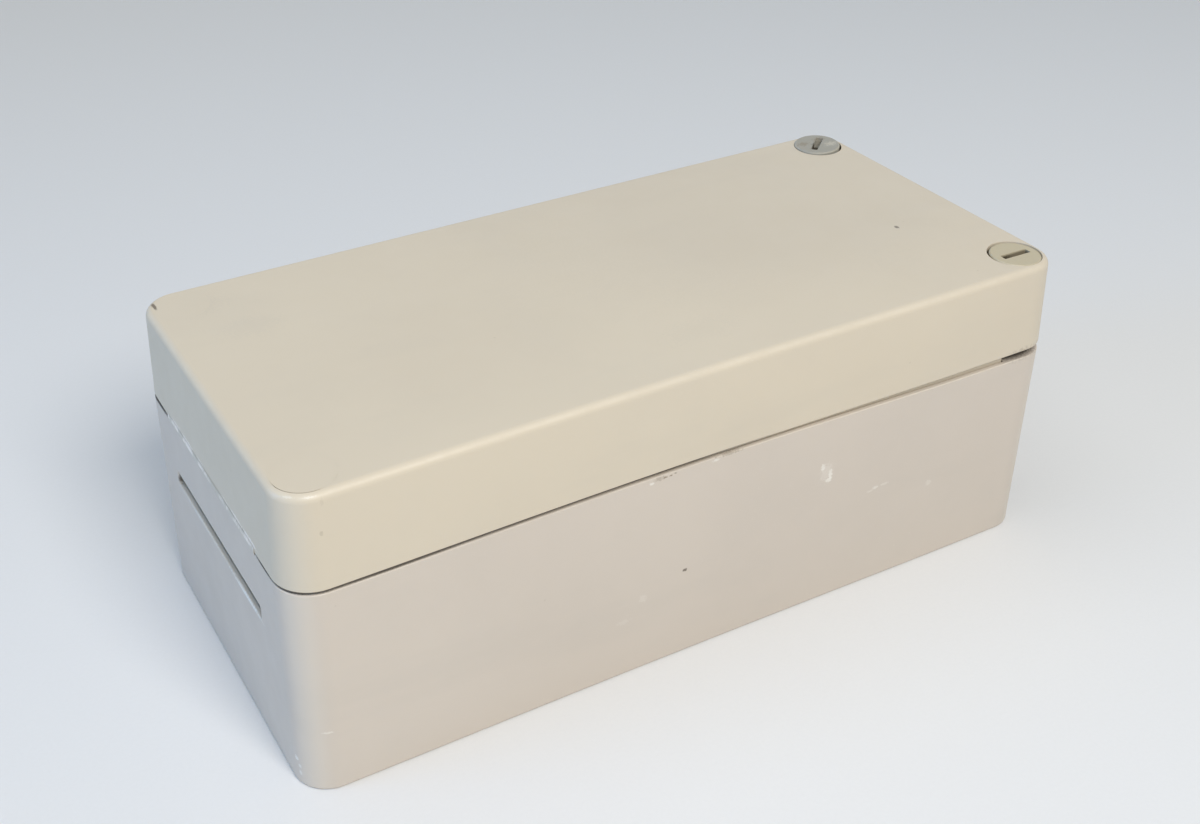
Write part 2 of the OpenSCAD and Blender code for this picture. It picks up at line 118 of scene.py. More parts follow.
# Marks on the plastic: place and reach in millimetres, raggedness, their colour and its strength
LID_MARKS = (
    ((95.3, -15.8, 95.7), (0.75, 1.15, 0.8), 0.6, "pit_and_shade", 0.85),
    ((-114.7, -57.8, 83.0), (0.5, 2.0, 0.9), 0.9, "soil", 0.2),
    ((-113.9, -57.6, 91.7), (0.5, 2.0, 1.2), 1.0, "soil", 0.08),
    ((-121.1, -53.9, 93.4), (1.8, 1.8, 0.25), 1.1, "chip_and_highlight", 0.3),
    ((-116.8, -56.6, 93.4), (1.7, 1.2, 0.22), 1.1, "chip_and_highlight", 0.35),
    # Painted shade in the rear cap's open gap at the hinge end's back corner.
    ((-121.4, 50.7, 94.0), (0.6, 2.7, 1.0), 0.5, "pit_and_shade", 0.85),
    ((-111.0, 44.5, 94.1), (9.0, 6.0, 2.0), 1.6, "haze", 0.12),
    ((-101.0, 26.0, 94.2), (9.0, 6.0, 2.0), 1.6, "haze", 0.1),
    ((6.0, -38.4, 95.0), (13.0, 6.0, 2.0), 1.6, "haze", 0.07),
    # Painted shade: the lid's top darker towards its back and right, where less light falls.
    ((85.0, 25.0, 95.5), (120.0, 70.0, 6.0), 0.4, "haze", 0.14),
    # Painted shade in the dark gap at the seam's front right corner, round the screw column.
    ((112.0, -53.0, 68.0), (11.0, 5.5, 3.0), 0.3, "grime_and_shade", 0.85),
    ((-125.0, 28.0, 68.0), (0.8, 5.5, 0.6), 1.0, "crease", 0.8),
    ((-125.0, 17.5, 68.1), (0.8, 6.0, 0.65), 1.0, "crease", 0.8),
    ((-125.0, 7.0, 68.2), (0.8, 3.5, 0.45), 1.2, "crease", 0.5),
    ((-125.0, -14.0, 68.3), (0.8, 4.0, 0.45), 1.2, "crease", 0.5),
    ((-125.0, -23.0, 68.2), (0.8, 5.5, 0.65), 1.0, "crease", 0.85),
    ((-125.0, -32.5, 68.1), (0.8, 5.5, 0.7), 0.9, "crease", 1.0),
    # Darkens the lid inside the rear bore, beside the screw's head.
    ((121.2, 43.5, 94.2), (1.6, 5.0, 1.5), 0.2, "grime_and_shade", 0.9),
)
BASE_MARKS = (
    ((-8.3, -57.3, 30.2), (0.85, 2.0, 0.65), 0.7, "pit_and_shade", 0.8),
    ((38.7, -57.3, 49.3), (0.8, 2.0, 1.6), 0.9, "chip_and_highlight", 0.45),
    ((40.1, -57.3, 47.2), (2.6, 2.0, 3.6), 1.3, "chip_and_highlight", 0.17),
    ((41.6, -57.3, 46.1), (0.8, 2.0, 1.8), 0.8, "chip_and_highlight", 0.5),
    ((41.0, -57.3, 44.3), (1.5, 2.0, 0.9), 0.8, "chip_and_highlight", 0.5),
    ((57.4, -57.5, 34.6), (1.5, 2.0, 0.5), 0.9, "chip_and_highlight", 0.2),
    ((59.6, -57.5, 35.3), (1.4, 2.0, 0.6), 0.9, "chip_and_highlight", 0.35),
    ((63.0, -57.6, 35.5), (1.7, 2.0, 0.5), 1.0, "chip_and_highlight", 0.22),
    ((81.0, -57.8, 29.8), (1.3, 2.0, 1.2), 1.0, "chip_and_highlight", 0.18),
    ((-22.2, -57.3, 25.4), (1.4, 2.0, 1.4), 1.5, "chip_and_highlight", 0.13),
    ((-28.3, -57.3, 19.6), (2.4, 2.0, 0.8), 1.5, "chip_and_highlight", 0.1),
    ((-124.0, -50.1, 8.6), (1.0, 0.9, 1.0), 1.0, "chip_and_highlight", 0.6),
    ((-123.7, -51.1, 6.4), (1.0, 0.7, 0.7), 1.0, "chip_and_highlight", 0.45),
    ((-123.7, -51.1, 4.0), (1.0, 0.7, 0.9), 1.0, "chip_and_highlight", 0.5),
    ((-117.4, -57.3, 20.3), (1.7, 1.2, 0.4), 1.0, "chip_and_highlight", 0.35),
    ((-20.3, -57.0, 63.7), (0.8, 2.0, 0.6), 1.0, "chip_and_highlight", 0.5),
    ((0.6, -57.0, 64.4), (1.4, 2.0, 0.5), 1.2, "chip_and_highlight", 0.45),
    ((-17.7, -57.0, 64.4), (2.2, 2.0, 0.7), 1.2, "soil", 0.35),
    ((-15.8, -57.0, 64.3), (0.6, 2.0, 0.35), 1.0, "soil", 0.7),
    ((-14.2, -57.0, 64.3), (0.6, 2.0, 0.3), 1.0, "soil", 0.7),
    ((-12.6, -57.0, 64.6), (0.7, 2.0, 0.3), 1.0, "soil", 0.6),
    ((5.2, -57.0, 65.1), (4.5, 2.0, 0.5), 1.4, "soil", 0.35),
    # Painted shadow in the rear end of the end slot, beyond the strap's barb.
    ((-124.0, 34.0, 45.2), (2.0, 1.3, 1.6), 0.4, "grime_and_shade", 0.7),
    # Lighter lower rim of the end slot: chipped plastic, with a painted highlight where the rim
    # faces up to the light.
    ((-125.0, -23.0, 43.2), (0.8, 15.0, 0.6), 0.6, "chip_and_highlight", 0.75),
    ((-125.0, 12.0, 43.3), (0.8, 24.0, 0.45), 1.0, "chip_and_highlight", 0.3),
    # Painted shade in the seam's gap: along its front left part and round the hinge end's corners,
    # beyond the film.
    ((-96.0, -57.5, 65.62), (34.0, 4.0, 0.36), 0.2, "grime_and_shade", 0.8),
    ((-121.0, -52.0, 65.6), (6.0, 9.0, 0.36), 0.3, "grime_and_shade", 0.75),
    ((-124.0, -43.0, 65.6), (2.5, 8.0, 0.4), 0.3, "grime_and_shade", 0.8),
    ((-124.5, 46.0, 65.6), (1.8, 11.5, 0.45), 0.2, "grime_and_shade", 0.85),
    # Painted shade in the dark gap at the seam's front right corner, round the screw column.
    ((112.0, -53.0, 65.5), (11.0, 5.5, 3.0), 0.3, "grime_and_shade", 0.85),
)
FRONT_SCREW_MARKS = (
    # Painted shadow in the dark crescent between the head's left side and its bore, and painted
    # shade in the left half of its slot.
    ((108.2, -44.4, 94.5), (2.8, 5.0, 1.1), 0.2, "grime_and_shade", 0.92),
    ((110.6, -47.4, 94.0), (4.2, 1.8, 1.8), 0.4, "grime_and_shade", 0.85),
)
REAR_SCREW_MARKS = (
    ((113.0, 47.6, 95.2), (2.4, 2.2, 1.9), 0.5, "grime_and_shade", 0.92),
    ((109.5, 49.8, 96.7), (2.6, 1.5, 1.2), 1.6, "soil", 0.35),
    ((116.4, 50.6, 96.8), (2.8, 1.6, 1.2), 1.6, "soil", 0.35),
    ((117.6, 45.2, 96.8), (2.4, 1.6, 1.2), 1.6, "rubbed_and_highlight", 0.3),
)
# Painted shade in the rear cap's open gap, matching the lid's mark there.
REAR_CAP_MARKS = (((-121.3, 50.6, 94.0), (0.6, 2.7, 1.0), 0.5, "pit_and_shade", 0.85),)


# Selecting and finishing

def ramp(value, start, full):
    """How far a value has come from the start to where it is full, from 0 to 1."""
    return min(max((value - start) / (full - start), 0), 1)


def activate(piece):
    """Leaves edit mode and makes one object the only selected and active one."""
    if bpy.context.object and bpy.context.object.mode != "OBJECT":
        bpy.ops.object.mode_set(mode="OBJECT")
    bpy.ops.object.select_all(action="DESELECT")
    if piece is not None:
        piece.select_set(True)
        bpy.context.view_layer.objects.active = piece


def edit_all(piece):
    """Opens a piece in edit mode with everything selected."""
    activate(piece)
    bpy.ops.object.mode_set(mode="EDIT")
    bpy.ops.mesh.select_all(action="SELECT")


def apply_modifier(piece, kind, **settings):
    """Adds a modifier with these settings and applies it."""
    activate(piece)
    modifier = piece.modifiers.new(kind.title(), kind)
    for key, value in settings.items():
        setattr(modifier, key, value)
    bpy.ops.object.modifier_apply(modifier=modifier.name)


def soften_edges(piece, width, segments=2):
    """Rounds every sharp edge."""
    apply_modifier(
        piece, "BEVEL", width=width, segments=segments, limit_method="ANGLE",
        angle_limit=ROUND_ABOVE, use_clamp_overlap=True, miter_outer="MITER_ARC",
    )


def clear_slivers(piece):
    """Removes faces and edges that have no size."""
    edit_all(piece)
    bpy.ops.mesh.dissolve_degenerate(threshold=SLIVER_BELOW)
    activate(piece)


def smooth(piece):
    """Smooth shading that keeps large flat areas flat."""
    activate(piece)
    bpy.ops.object.shade_smooth_by_angle(angle=SMOOTH_BELOW)
    apply_modifier(piece, "WEIGHTED_NORMAL", mode="FACE_AREA", weight=90, keep_sharp=True)


def cut(piece, cutter):
    """Takes the cutter's shape out of a piece and deletes the cutter."""
    apply_modifier(piece, "BOOLEAN", operation="DIFFERENCE", solver="EXACT", object=cutter)
    bpy.data.objects.remove(cutter)


def settle(piece, body, material, slot, *nodes):
    """Gives a finished piece its material and body, and hides the CAD nodes that it stands for; its
    slot is not used.
    """
    piece.data.materials.clear()
    piece.data.materials.append(material)
    if body:
        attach(piece, body)
    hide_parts(*nodes)


def refined_node(node, name):
    """A piece with a CAD node's shape, with its triangles merged and its flat areas joined."""
    piece = bpy.data.objects.new(name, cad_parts[node].data.copy())
    bpy.context.scene.collection.objects.link(piece)
    edit_all(piece)
    bpy.ops.mesh.customdata_custom_splitnormals_clear()
    bpy.ops.mesh.remove_doubles(threshold=MERGE_BELOW)
    bpy.ops.mesh.dissolve_limited(angle_limit=JOIN_BELOW)
    activate(piece)
    return piece


def divide(piece, axis, levels):
    """Cuts a piece's faces along planes across an axis, and keeps both sides."""
    normal = [0, 0, 0]
    normal[axis] = 1
    for level in levels:
        place = [0, 0, 0]
        place[axis] = level
        edit_all(piece)
        bpy.ops.mesh.bisect(plane_co=place, plane_no=normal)
    activate(piece)


def turned_piece(name, stations, segments):
    """A turned piece along +Z: a disc is extruded and resized from station to station."""
    activate(None)
    radius, height = stations[0]
    bpy.ops.mesh.primitive_circle_add(
        vertices=segments, radius=radius, fill_type="NGON", location=(0, 0, height)
    )
    piece = bpy.context.object
    piece.name = name
    bpy.ops.object.transform_apply(location=True, rotation=False, scale=False)
    edit_all(piece)
    for r, z in stations[1:]:
        bpy.ops.mesh.extrude_region_move(TRANSFORM_OT_translate={"value": (0, 0, z - height)})
        bpy.ops.transform.resize(value=(r / radius, r / radius, 1), center_override=(0, 0, z))
        radius, height = r, z
    bpy.ops.mesh.select_all(action="SELECT")
    bpy.ops.mesh.remove_doubles(threshold=1e-7)
    bpy.ops.mesh.normals_make_consistent(inside=False)
    activate(piece)
    return piece


def block(name, size, place, round_radius=0.0):
    """A block whose upright edges are rounded."""
    activate(None)
    bpy.ops.mesh.primitive_cube_add(size=1, location=place)
    piece = bpy.context.object
    piece.name = name
    piece.scale = size
    bpy.ops.object.transform_apply(location=True, rotation=False, scale=True)
    if round_radius:
        mesh = piece.data
        for edge in mesh.edges:
            a, b = (mesh.vertices[i].co for i in edge.vertices)
            edge.select = abs(a.x - b.x) + abs(a.y - b.y) < 1e-7
        for part in (*mesh.vertices, *mesh.polygons):
            part.select = False
        bpy.ops.object.mode_set(mode="EDIT")
        bpy.ops.mesh.select_mode(type="EDGE")
        bpy.ops.mesh.bevel(offset=round_radius, segments=4, affect="EDGES")
        bpy.ops.mesh.select_mode(type="VERT")
        activate(piece)
    return piece


# Nodes

class Graph:
    """Adds nodes to one node tree, with their values and links in one call."""

    def __init__(self, tree):
        self.tree = tree

    def feed(self, socket, value):
        """Links a socket, or sets a plain value on it."""
        if isinstance(value, bpy.types.NodeSocket):
            self.tree.links.new(value, socket)
        else:
            socket.default_value = value

    def add(self, kind, inputs=None, **settings):
        """Adds a node with its settings and inputs."""
        node = self.tree.nodes.new(kind)
        for key, value in settings.items():
            setattr(node, key, value)
        for key, value in (inputs or {}).items():
            self.feed(node.inputs[key], value)
        return node

    def math(self, operation, a, b=0.0):
        """One step of arithmetic with values."""
        return self.add("ShaderNodeMath", {0: a, 1: b}, operation=operation).outputs[0]

    def vector(self, operation, a, b=(0, 0, 0)):
        """One step of arithmetic with vectors."""
        node = self.add("ShaderNodeVectorMath", {0: a, 1: b}, operation=operation)
        return node.outputs["Value" if operation in ("DOT_PRODUCT", "LENGTH") else "Vector"]

    def between(self, value, low, high, out_low=0.0, out_high=1.0):
        """A value between two limits, eased to an output range."""
        inputs = {
            "Value": value, "From Min": low, "From Max": high,
            "To Min": out_low, "To Max": out_high,
        }
        node = self.add("ShaderNodeMapRange", inputs, interpolation_type="SMOOTHSTEP")
        return node.outputs["Result"]

    def noise(self, vector, scale, detail=2.0, roughness=0.5):
        """Cloudy noise from 0 to 1."""
        inputs = {"Vector": vector, "Scale": scale, "Detail": detail, "Roughness": roughness}
        return self.add("ShaderNodeTexNoise", inputs).outputs["Fac"]

    def mix(self, factor, a, b):
        """A mix of two colours."""
        node = self.add("ShaderNodeMix", {0: factor, 6: a, 7: b}, data_type="RGBA")
        return node.outputs[2]

    def stretch(self, vector, scale, turn=(0, 0, 0)):
        """Coordinates that are turned and stretched."""
        inputs = {"Vector": vector, "Scale": scale, "Rotation": turn}
        return self.add("ShaderNodeMapping", inputs).outputs["Vector"]

    def bump(self, height, strength, distance, normal=None):
        """A normal from a height, whose distance is in millimetres."""
        inputs = {"Height": height, "Strength": strength, "Distance": distance * MM}
        if normal is not None:
            inputs["Normal"] = normal
        return self.add("ShaderNodeBump", inputs).outputs["Normal"]

    def group(self, name, **inputs):
        """Places one of the shared node groups."""
        node = self.tree.nodes.new("ShaderNodeGroup")
        node.node_tree = bpy.data.node_groups[name]
        for key, value in inputs.items():
            self.feed(node.inputs[key.replace("_", " ").title()], value)
        return node.outputs


SOCKETS = {"vector": "NodeSocketVector", "value": "NodeSocketFloat"}


def shared_group(name, inputs, outputs):
    """Starts a node group and gives back its graph, its inputs and its output node."""
    tree = bpy.data.node_groups.new(name, "ShaderNodeTree")
    for socket, kind in inputs.items():
        tree.interface.new_socket(name=socket, in_out="INPUT", socket_type=SOCKETS[kind])
    for socket in outputs:
        tree.interface.new_socket(name=socket, in_out="OUTPUT", socket_type=SOCKETS["value"])
    graph = Graph(tree)
    return graph, graph.add("NodeGroupInput").outputs, graph.add("NodeGroupOutput")


def make_groups():
    """Builds the effects that several materials share."""
    pattern = {"Vector": "vector", "Scale": "value"}
    g, given, out = shared_group("Moulded grain", pattern, ["Height", "Gloss"])
    fine = g.noise(given["Vector"], given["Scale"], 2.0, 0.6)
    coarse = g.noise(given["Vector"], g.math("MULTIPLY", given["Scale"], 0.2), 3.0, 0.5)
    height = g.math("ADD", g.math("MULTIPLY", fine, 0.65), g.math("MULTIPLY", coarse, 0.35))
    g.feed(out.inputs["Height"], height)
    g.feed(out.inputs["Gloss"], g.noise(given["Vector"], 75.0, 5.0, 0.65))

    g, given, out = shared_group("Soiling", pattern, ["Patches", "Smears", "Specks"])
    cloud = g.noise(given["Vector"], given["Scale"], 6.0, 0.62)
    g.feed(out.inputs["Patches"], g.between(cloud, 0.44, 0.74))
    smear = g.noise(g.stretch(given["Vector"], (9.0, 46.0, 46.0), (0.3, 0.2, 0.5)), 1.0, 4.0, 0.6)
    g.feed(out.inputs["Smears"], g.between(smear, 0.52, 0.72))
    cells = g.add("ShaderNodeTexVoronoi", {"Vector": given["Vector"], "Scale": 105.0})
    rare = g.between(g.noise(given["Vector"], 38.0, 1.0), 0.6, 0.66)
    dot = g.between(cells.outputs["Distance"], 0.05, 0.02)
    g.feed(out.inputs["Specks"], g.math("MULTIPLY", dot, rare))

    # Lighter edges: Mask takes roundings halfway between the top and the sides, broken up, for worn
    # plastic and a painted highlight; the other output takes the rounded upright corners, for a
    # painted highlight.
    edges = {"Vector": "vector", "Normal": "vector", "Breakup": "value"}
    g, given, out = shared_group("Edge wear and highlight", edges, ["Mask", "Corner highlight"])
    worn = g.between(g.noise(given["Vector"], given["Breakup"], 5.0, 0.7), 0.3, 0.68)
    squared = g.vector("MULTIPLY", given["Normal"], given["Normal"])
    squares = g.add("ShaderNodeSeparateXYZ", {0: squared}).outputs
    slope = g.math("SUBTRACT", 1.0, squares["Z"])
    level = g.math("MULTIPLY", g.math("MULTIPLY", squares["Z"], 4.0), slope)
    g.feed(out.inputs["Mask"], g.math("MULTIPLY", g.between(level, 0.5, 1.0), worn))
    upright = g.math("MULTIPLY", g.math("MULTIPLY", squares["X"], 4.0), squares["Y"])
    g.feed(out.inputs["Corner highlight"], g.between(upright, 0.1, 1.0))

    spot = {"Vector": "vector", "Place": "vector", "Reach": "vector", "Ragged": "value"}
    g, given, out = shared_group("Spot mark", spot, ["Mask"])
    from_place = g.vector("SUBTRACT", given["Vector"], given["Place"])
    offset = g.vector("DIVIDE", from_place, given["Reach"])
    reach = g.math("ADD", g.vector("LENGTH", offset), given["Ragged"])
    g.feed(out.inputs["Mask"], g.between(reach, 1.1, 0.5))

    g, given, out = shared_group("Hairlines", {"Vector": "vector", "Turn": "vector"}, ["Mask"])
    turned = g.stretch(given["Vector"], (1, 1, 1), given["Turn"])
    lines = g.noise(g.stretch(turned, (26.0, 1900.0, 1900.0)), 1.0, 2.0, 0.5)
    where = g.between(g.noise(given["Vector"], 22.0, 2.0), 0.5, 0.68)
    g.feed(out.inputs["Mask"], g.math("MULTIPLY", g.between(lines, 0.68, 0.76), where))


def new_material(name):
    """An empty material with its shader, and its graph and coordinates."""
    material = bpy.data.materials.new(name)
    material.use_nodes = True
    material.node_tree.nodes.clear()
    graph = Graph(material.node_tree)
    shader = graph.add("ShaderNodeBsdfPrincipled")
    output = graph.add("ShaderNodeOutputMaterial")
    graph.feed(output.inputs["Surface"], shader.outputs["BSDF"])
    return material, graph, shader, graph.add("ShaderNodeTexCoord").outputs


def rim_mask(g, place, light_x, full_x):
    """Where the seam darkens, with dirt and painted shade: along a rim's outer edge, but not where
    the film bridges the seam.
    """
    sizes = bpy.context.scene.enclosure_sizes
    corner = (sizes.corner_x, sizes.corner_y, 1)
    round_corner = g.vector("MAXIMUM", g.vector("SUBTRACT", g.vector("ABSOLUTE", place), corner))
    outer = g.between(g.vector("LENGTH", round_corner), *RIM_OUTER)
    split = g.add("ShaderNodeSeparateXYZ", {0: place}).outputs
    beside = g.between(g.math("ABSOLUTE", split["Y"]), *FILM_BESIDE)
    inwards = g.between(split["X"], *FILM_INWARDS)
    share = g.math("MULTIPLY", outer, g.math("MAXIMUM", beside, inwards))
    return g.math("MULTIPLY", share, g.between(split["X"], light_x, full_x, 0.03, 1.0))


def moulded_plastic(name, tint, marks=(), haze=0.35, rub_and_highlight=0.3, dirt=None, shine=0.5):
    """Satin moulded plastic with mottling, smears, worn edges lightened with a painted highlight,
    and single marks.

    dirt describes a plane past which the plastic is darkened, with dirt and on the seam's rims
    painted shade:
    its direction and level, the depths at which the darkening fades in and is full, its amount, and
    for a rim where along X it is lightest and full."""
    colours = bpy.context.scene.enclosure_colours
    material, g, shader, coordinates = new_material(name)
    place, normal = coordinates["Object"], coordinates["Normal"]
    soiling = g.group("Soiling", vector=place, scale=21.0)
    grain = g.group("Moulded grain", vector=place, scale=5200.0)
    wear_and_highlight = g.group("Edge wear and highlight", vector=place, normal=normal, breakup=130.0)
    scratches = g.group("Hairlines", vector=place, turn=(0.2, 0.35, 0.6))

    def blend(colour, mask, strength, other):
        return g.mix(g.math("MULTIPLY", mask, strength), colour, (*other, 1))

    second = [c * s for c, s in zip(tint, (0.95, 0.945, 0.945))]
    colour = g.mix(g.between(g.noise(place, 7.0, 3.0), 0.3, 0.7), (*tint, 1), (*second, 1))
    colour = blend(colour, soiling["Patches"], haze * 0.3, colours.haze)
    colour = blend(colour, soiling["Smears"], haze * 0.28, colours.haze)
    colour = blend(colour, soiling["Specks"], 0.12, colours.soil)
    # Painted highlight on the rounded upright corners, then worn plastic with painted highlight on
    # the edges.
    colour = blend(colour, wear_and_highlight["Corner highlight"], rub_and_highlight * 0.5, colours.rubbed_and_highlight)
    colour = blend(colour, wear_and_highlight["Mask"], rub_and_highlight, colours.rubbed_and_highlight)
    colour = blend(colour, scratches["Mask"], 0.2, colours.rubbed_and_highlight)
    # Past the plane the plastic is darkened: dirt, and on the seam's rims painted shade in the gap.
    if dirt:
        depth = g.math("SUBTRACT", g.vector("DOT_PRODUCT", place, dirt["direction"]), dirt["level"])
        mask = g.math("MULTIPLY", g.between(depth, dirt["fade"], dirt["full"]), dirt["amount"])
        if "along" in dirt:
            mask = g.math("MULTIPLY", mask, rim_mask(g, place, *dirt["along"]))
        colour = g.mix(mask, colour, (*colours.grime_and_shade, 1))
    gloss = g.between(grain["Gloss"], 0.25, 0.75, 0.4, 0.54)
    gloss = g.math("SUBTRACT", gloss, g.math("MULTIPLY", wear_and_highlight["Mask"], 0.08))
    height = grain["Height"]
    ragged = g.math("SUBTRACT", g.noise(place, 1500.0, 3.0, 0.6), 0.5)
    for spot, reach, raggedness, kind, strength in marks:
        mask = g.group(
            "Spot mark", vector=place, place=Vector(spot) * MM, reach=Vector(reach) * MM,
            ragged=g.math("MULTIPLY", ragged, 2.0 * raggedness),
        )["Mask"]
        colour = blend(colour, mask, strength, getattr(colours, kind))
        if kind in ("chip_and_highlight", "pit_and_shade"):
            height = g.math("SUBTRACT", height, g.math("MULTIPLY", mask, 4.0 * strength))
        elif kind in ("soil", "grime_and_shade"):
            gloss = g.math("ADD", gloss, g.math("MULTIPLY", mask, 0.45 * strength))
    wave = g.noise(place, 16.0, 2.0)
    waves = g.bump(wave, 0.25, 0.25)
    g.feed(shader.inputs["Base Color"], colour)
    g.feed(shader.inputs["Roughness"], gloss)
    g.feed(shader.inputs["Normal"], g.bump(height, 0.16, 0.03, waves))
    shader.inputs["IOR"].default_value = 1.49
    shader.inputs["Specular IOR Level"].default_value = shine
    return material


def strap_plastic(name):
    """The hinge strap's plastic, which has gone white along the crease where it bends."""
    colours = bpy.context.scene.enclosure_colours
    sizes = bpy.context.scene.enclosure_sizes
    material, g, shader, coordinates = new_material(name)
    place = coordinates["Object"]
    split = g.add("ShaderNodeSeparateXYZ", {0: place}).outputs
    wander = g.math("MULTIPLY", g.math("SUBTRACT", g.noise(place, 260.0, 3.0), 0.5), 0.35 * MM)
    crease_z = sizes.hinge_z + 1.1 * MM
    height = g.math("ADD", g.math("SUBTRACT", split["Z"], crease_z), wander)
    crease = g.between(g.math("ABSOLUTE", height), 1.1 * MM, 0.6 * MM)
    worn = g.between(g.noise(place, 150.0, 4.0, 0.65), 0.4, 0.6)
    sound_y = -5.5 * MM
    from_sound = g.math("ABSOLUTE", g.math("SUBTRACT", split["Y"], sound_y))
    sound = g.between(from_sound, 2.5 * MM, 6.0 * MM)
    mask = g.math("MULTIPLY", g.math("MULTIPLY", crease, worn), sound)
    darker = (*[c * 0.93 for c in colours.strap], 1)
    tone = g.mix(g.noise(place, 60.0, 4.0), (*colours.strap, 1), darker)
    tone = g.mix(mask, tone, (*colours.crease, 1))
    # The strap below the hinge, seen in the end slot, is darkened: dirt, and painted shade that is
    # deepest towards the slot's upper rim.
    below = g.between(split["Z"], sizes.hinge_z - 12 * MM, sizes.hinge_z - 15 * MM)
    low, high = sizes.slot_z - 1.8 * MM, sizes.slot_z + 1.8 * MM
    upper = g.between(split["Z"], low, high, 0.75, 1.0)
    patchy = g.between(g.noise(place, 240.0, 4.0, 0.65), 0.3, 0.7, 0.8, 1.0)
    dirt = g.math("MULTIPLY", g.math("MULTIPLY", below, upper), patchy)
    g.feed(shader.inputs["Base Color"], g.mix(dirt, tone, (*colours.slot_dirt_and_shade, 1)))
    g.feed(shader.inputs["Roughness"], g.between(g.noise(place, 300.0, 3.0), 0.3, 0.7, 0.42, 0.56))
    grain = g.group("Moulded grain", vector=place, scale=4200.0)
    lift = g.math("ADD", grain["Height"], g.math("MULTIPLY", mask, 2.0))
    g.feed(shader.inputs["Normal"], g.bump(lift, 0.2, 0.03))
    return material


def foam_rubber(name):
    """Black foam rubber with open pores and a little pale dust."""
    colours = bpy.context.scene.enclosure_colours
    material, g, shader, coordinates = new_material(name)
    place = coordinates["Object"]
    pores = g.add("ShaderNodeTexVoronoi", {"Vector": place, "Scale": 2600.0}).outputs["Distance"]
    dust = g.between(g.noise(place, 90.0, 5.0, 0.65), 0.45, 0.8)
    pale = (*[c * 2.6 + 0.02 for c in colours.gasket], 1)
    g.feed(shader.inputs["Base Color"], g.mix(dust, (*colours.gasket, 1), pale))
    g.feed(shader.inputs["Roughness"], g.between(dust, 0.0, 1.0, 0.78, 0.94))
    g.feed(shader.inputs["Normal"], g.bump(pores, 0.5, 0.12))
    return material


def plated_metal(name, tint, spangle=0.0, tarnish=0.3):
    """Metal with fine drawn lines, dull patches and, where it is galvanised, a spangle."""
    material, g, shader, coordinates = new_material(name)
    place = coordinates["Object"]
    lines = g.noise(g.stretch(place, (60.0, 2400.0, 2400.0)), 1.0, 3.0, 0.6)
    patches = g.between(g.noise(place, 130.0, 5.0, 0.65), 0.4, 0.75)
    colour = g.mix(g.math("MULTIPLY", patches, tarnish), (*tint, 1), (*[c * 0.55 for c in tint], 1))
    rough = g.between(lines, 0.2, 0.8, 0.26, 0.4)
    if spangle:
        crystals = g.add("ShaderNodeTexVoronoi", {"Vector": place, "Scale": 95.0}).outputs["Color"]
        grey = g.vector("DOT_PRODUCT", crystals, (0.33, 0.33, 0.33))
        colour = g.mix(g.math("MULTIPLY", grey, spangle), colour, (*[c * 0.62 for c in tint], 1))
        rough = g.math("ADD", rough, g.math("MULTIPLY", grey, 0.22))
    rough = g.math("ADD", rough, g.math("MULTIPLY", patches, 0.15))
    g.feed(shader.inputs["Base Color"], colour)
    g.feed(shader.inputs["Roughness"], rough)
    shader.inputs["Metallic"].default_value = 1.0
    g.feed(shader.inputs["Normal"], g.bump(lines, 0.12, 0.02))
    return material


# Sizes and colours

def length(name, description, default):
    """A length, whose default is in millimetres."""
    return bpy.props.FloatProperty(
        name=name, description=description, default=default * MM, unit="LENGTH", precision=5
    )


def tint(name, description, default):
    """A colour."""
    return bpy.props.FloatVectorProperty(
        name=name, description=description, default=default, subtype="COLOR", min=0.0, max=1.0
    )


class EnclosureSizes(bpy.types.PropertyGroup):
    """Sizes of the pieces that are modelled on the frame."""

    half_length: length("Half length", "From the middle of the box to its hinge", 125.0)
    hinge_z: length("Hinge height", "Height of the film hinge above the underside", 66.1)
    lid_top: length("Lid top", "Height of the closed lid's top", 94.0)
    lid_angle: bpy.props.FloatProperty(
        name="Lid angle", description="How far the gasket holds the lid open",
        default=math.radians(0.45), subtype="ANGLE",
    )
    corner_x: length("Corner bore, along", "From the middle of the box to the corner bores", 114.2)
    corner_y: length("Corner bore, across", "From the middle of the box to the corner bores", 47.5)
    head_radius: length("Screw head radius", "Radius of a lid screw's head", 7.8)
    head_height: length("Screw head height", "Height of a lid screw's head", 4.0)
    shank_radius: length("Shank radius", "Radius of a lid screw's shank", 3.5)
    slot_length: length("Slot length", "Length of the driver slot", 10.2)
    slot_width: length("Slot width", "Width of the driver slot", 2.3)
    slot_depth: length("Slot depth", "Depth of the driver slot", 2.0)
    proud: length("Proud head", "How far the rear screw stands above the lid", 0.9)
    cap_radius: length("Cap radius", "Radius of a corner cap", 8.0)
    wall_sink: length("Wall sink", "How far the front wall has sunk in at the seam", 1.75)
    sink_x: length("Sink place", "Where along the box the front wall has sunk in most", -14.0)
    sink_span: length("Sink span", "From the deepest place of the sink to its ends", 97.0)
    front_drop: length("Front drop", "How far the front rims have dropped", 0.65)
    slot_z: length("End slot height", "Height of the slot in the end wall", 45.8)
    slot_half: length("End slot half length", "From the middle of the end slot to its ends", 34.5)
    slot_rise: length("End slot opening", "Half the height of the end slot", 2.2)
    slot_fill: length("End slot dirt", "How much shallower dirt makes the end slot's top", 0.32)
    slot_rim: length("End slot rim", "Radius of the end slot's rim", 0.6)
    bore_radius: length("Bore radius", "Radius of the lid's corner bores", 8.15)
    crease_spread: bpy.props.FloatProperty(
        name="Crease spread", description="How far the film's bent face spreads over the rims",
        default=2.0,
    )
    crease_lift: length("Crease lift", "How far the film's bent face stands above the hinge", 0.3)
    edge_softness: length("Edge softness", "Radius of edges that the mould left crisp", 0.16)


